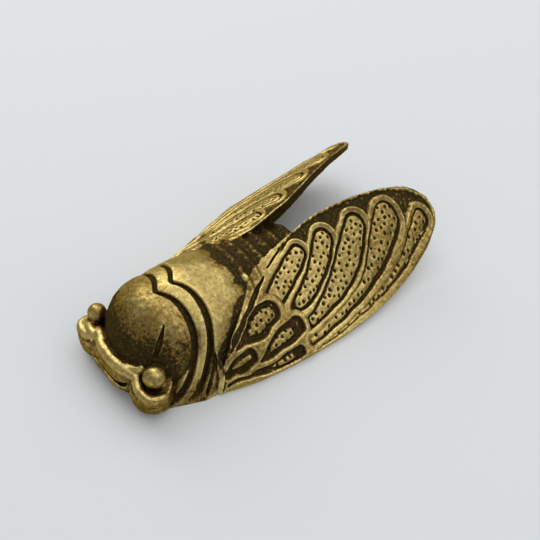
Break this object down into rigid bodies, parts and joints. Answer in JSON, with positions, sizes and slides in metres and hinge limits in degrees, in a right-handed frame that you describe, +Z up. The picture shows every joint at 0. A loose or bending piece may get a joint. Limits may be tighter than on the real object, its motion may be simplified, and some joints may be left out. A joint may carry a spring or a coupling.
{
  "type": "cicada tea pet",
  "caption": "Small cast brass cicada with a domed head, round eyes, two raised veined wings and a flat underside that it rests on.",
  "frame": {"origin": "middle of the footprint, on the floor", "axes": "+X is the cicada's left, +Y points to the wing tips, +Z is up"},
  "size_m": [0.0262, 0.045, 0.0106],
  "materials": {
    "aged_brass": "polished high spots worn golden, with a brown-black patina in the recesses"
  },
  "bodies": {
    "root": {"cicada": "aged_brass"}
  },
  "joints": []
}
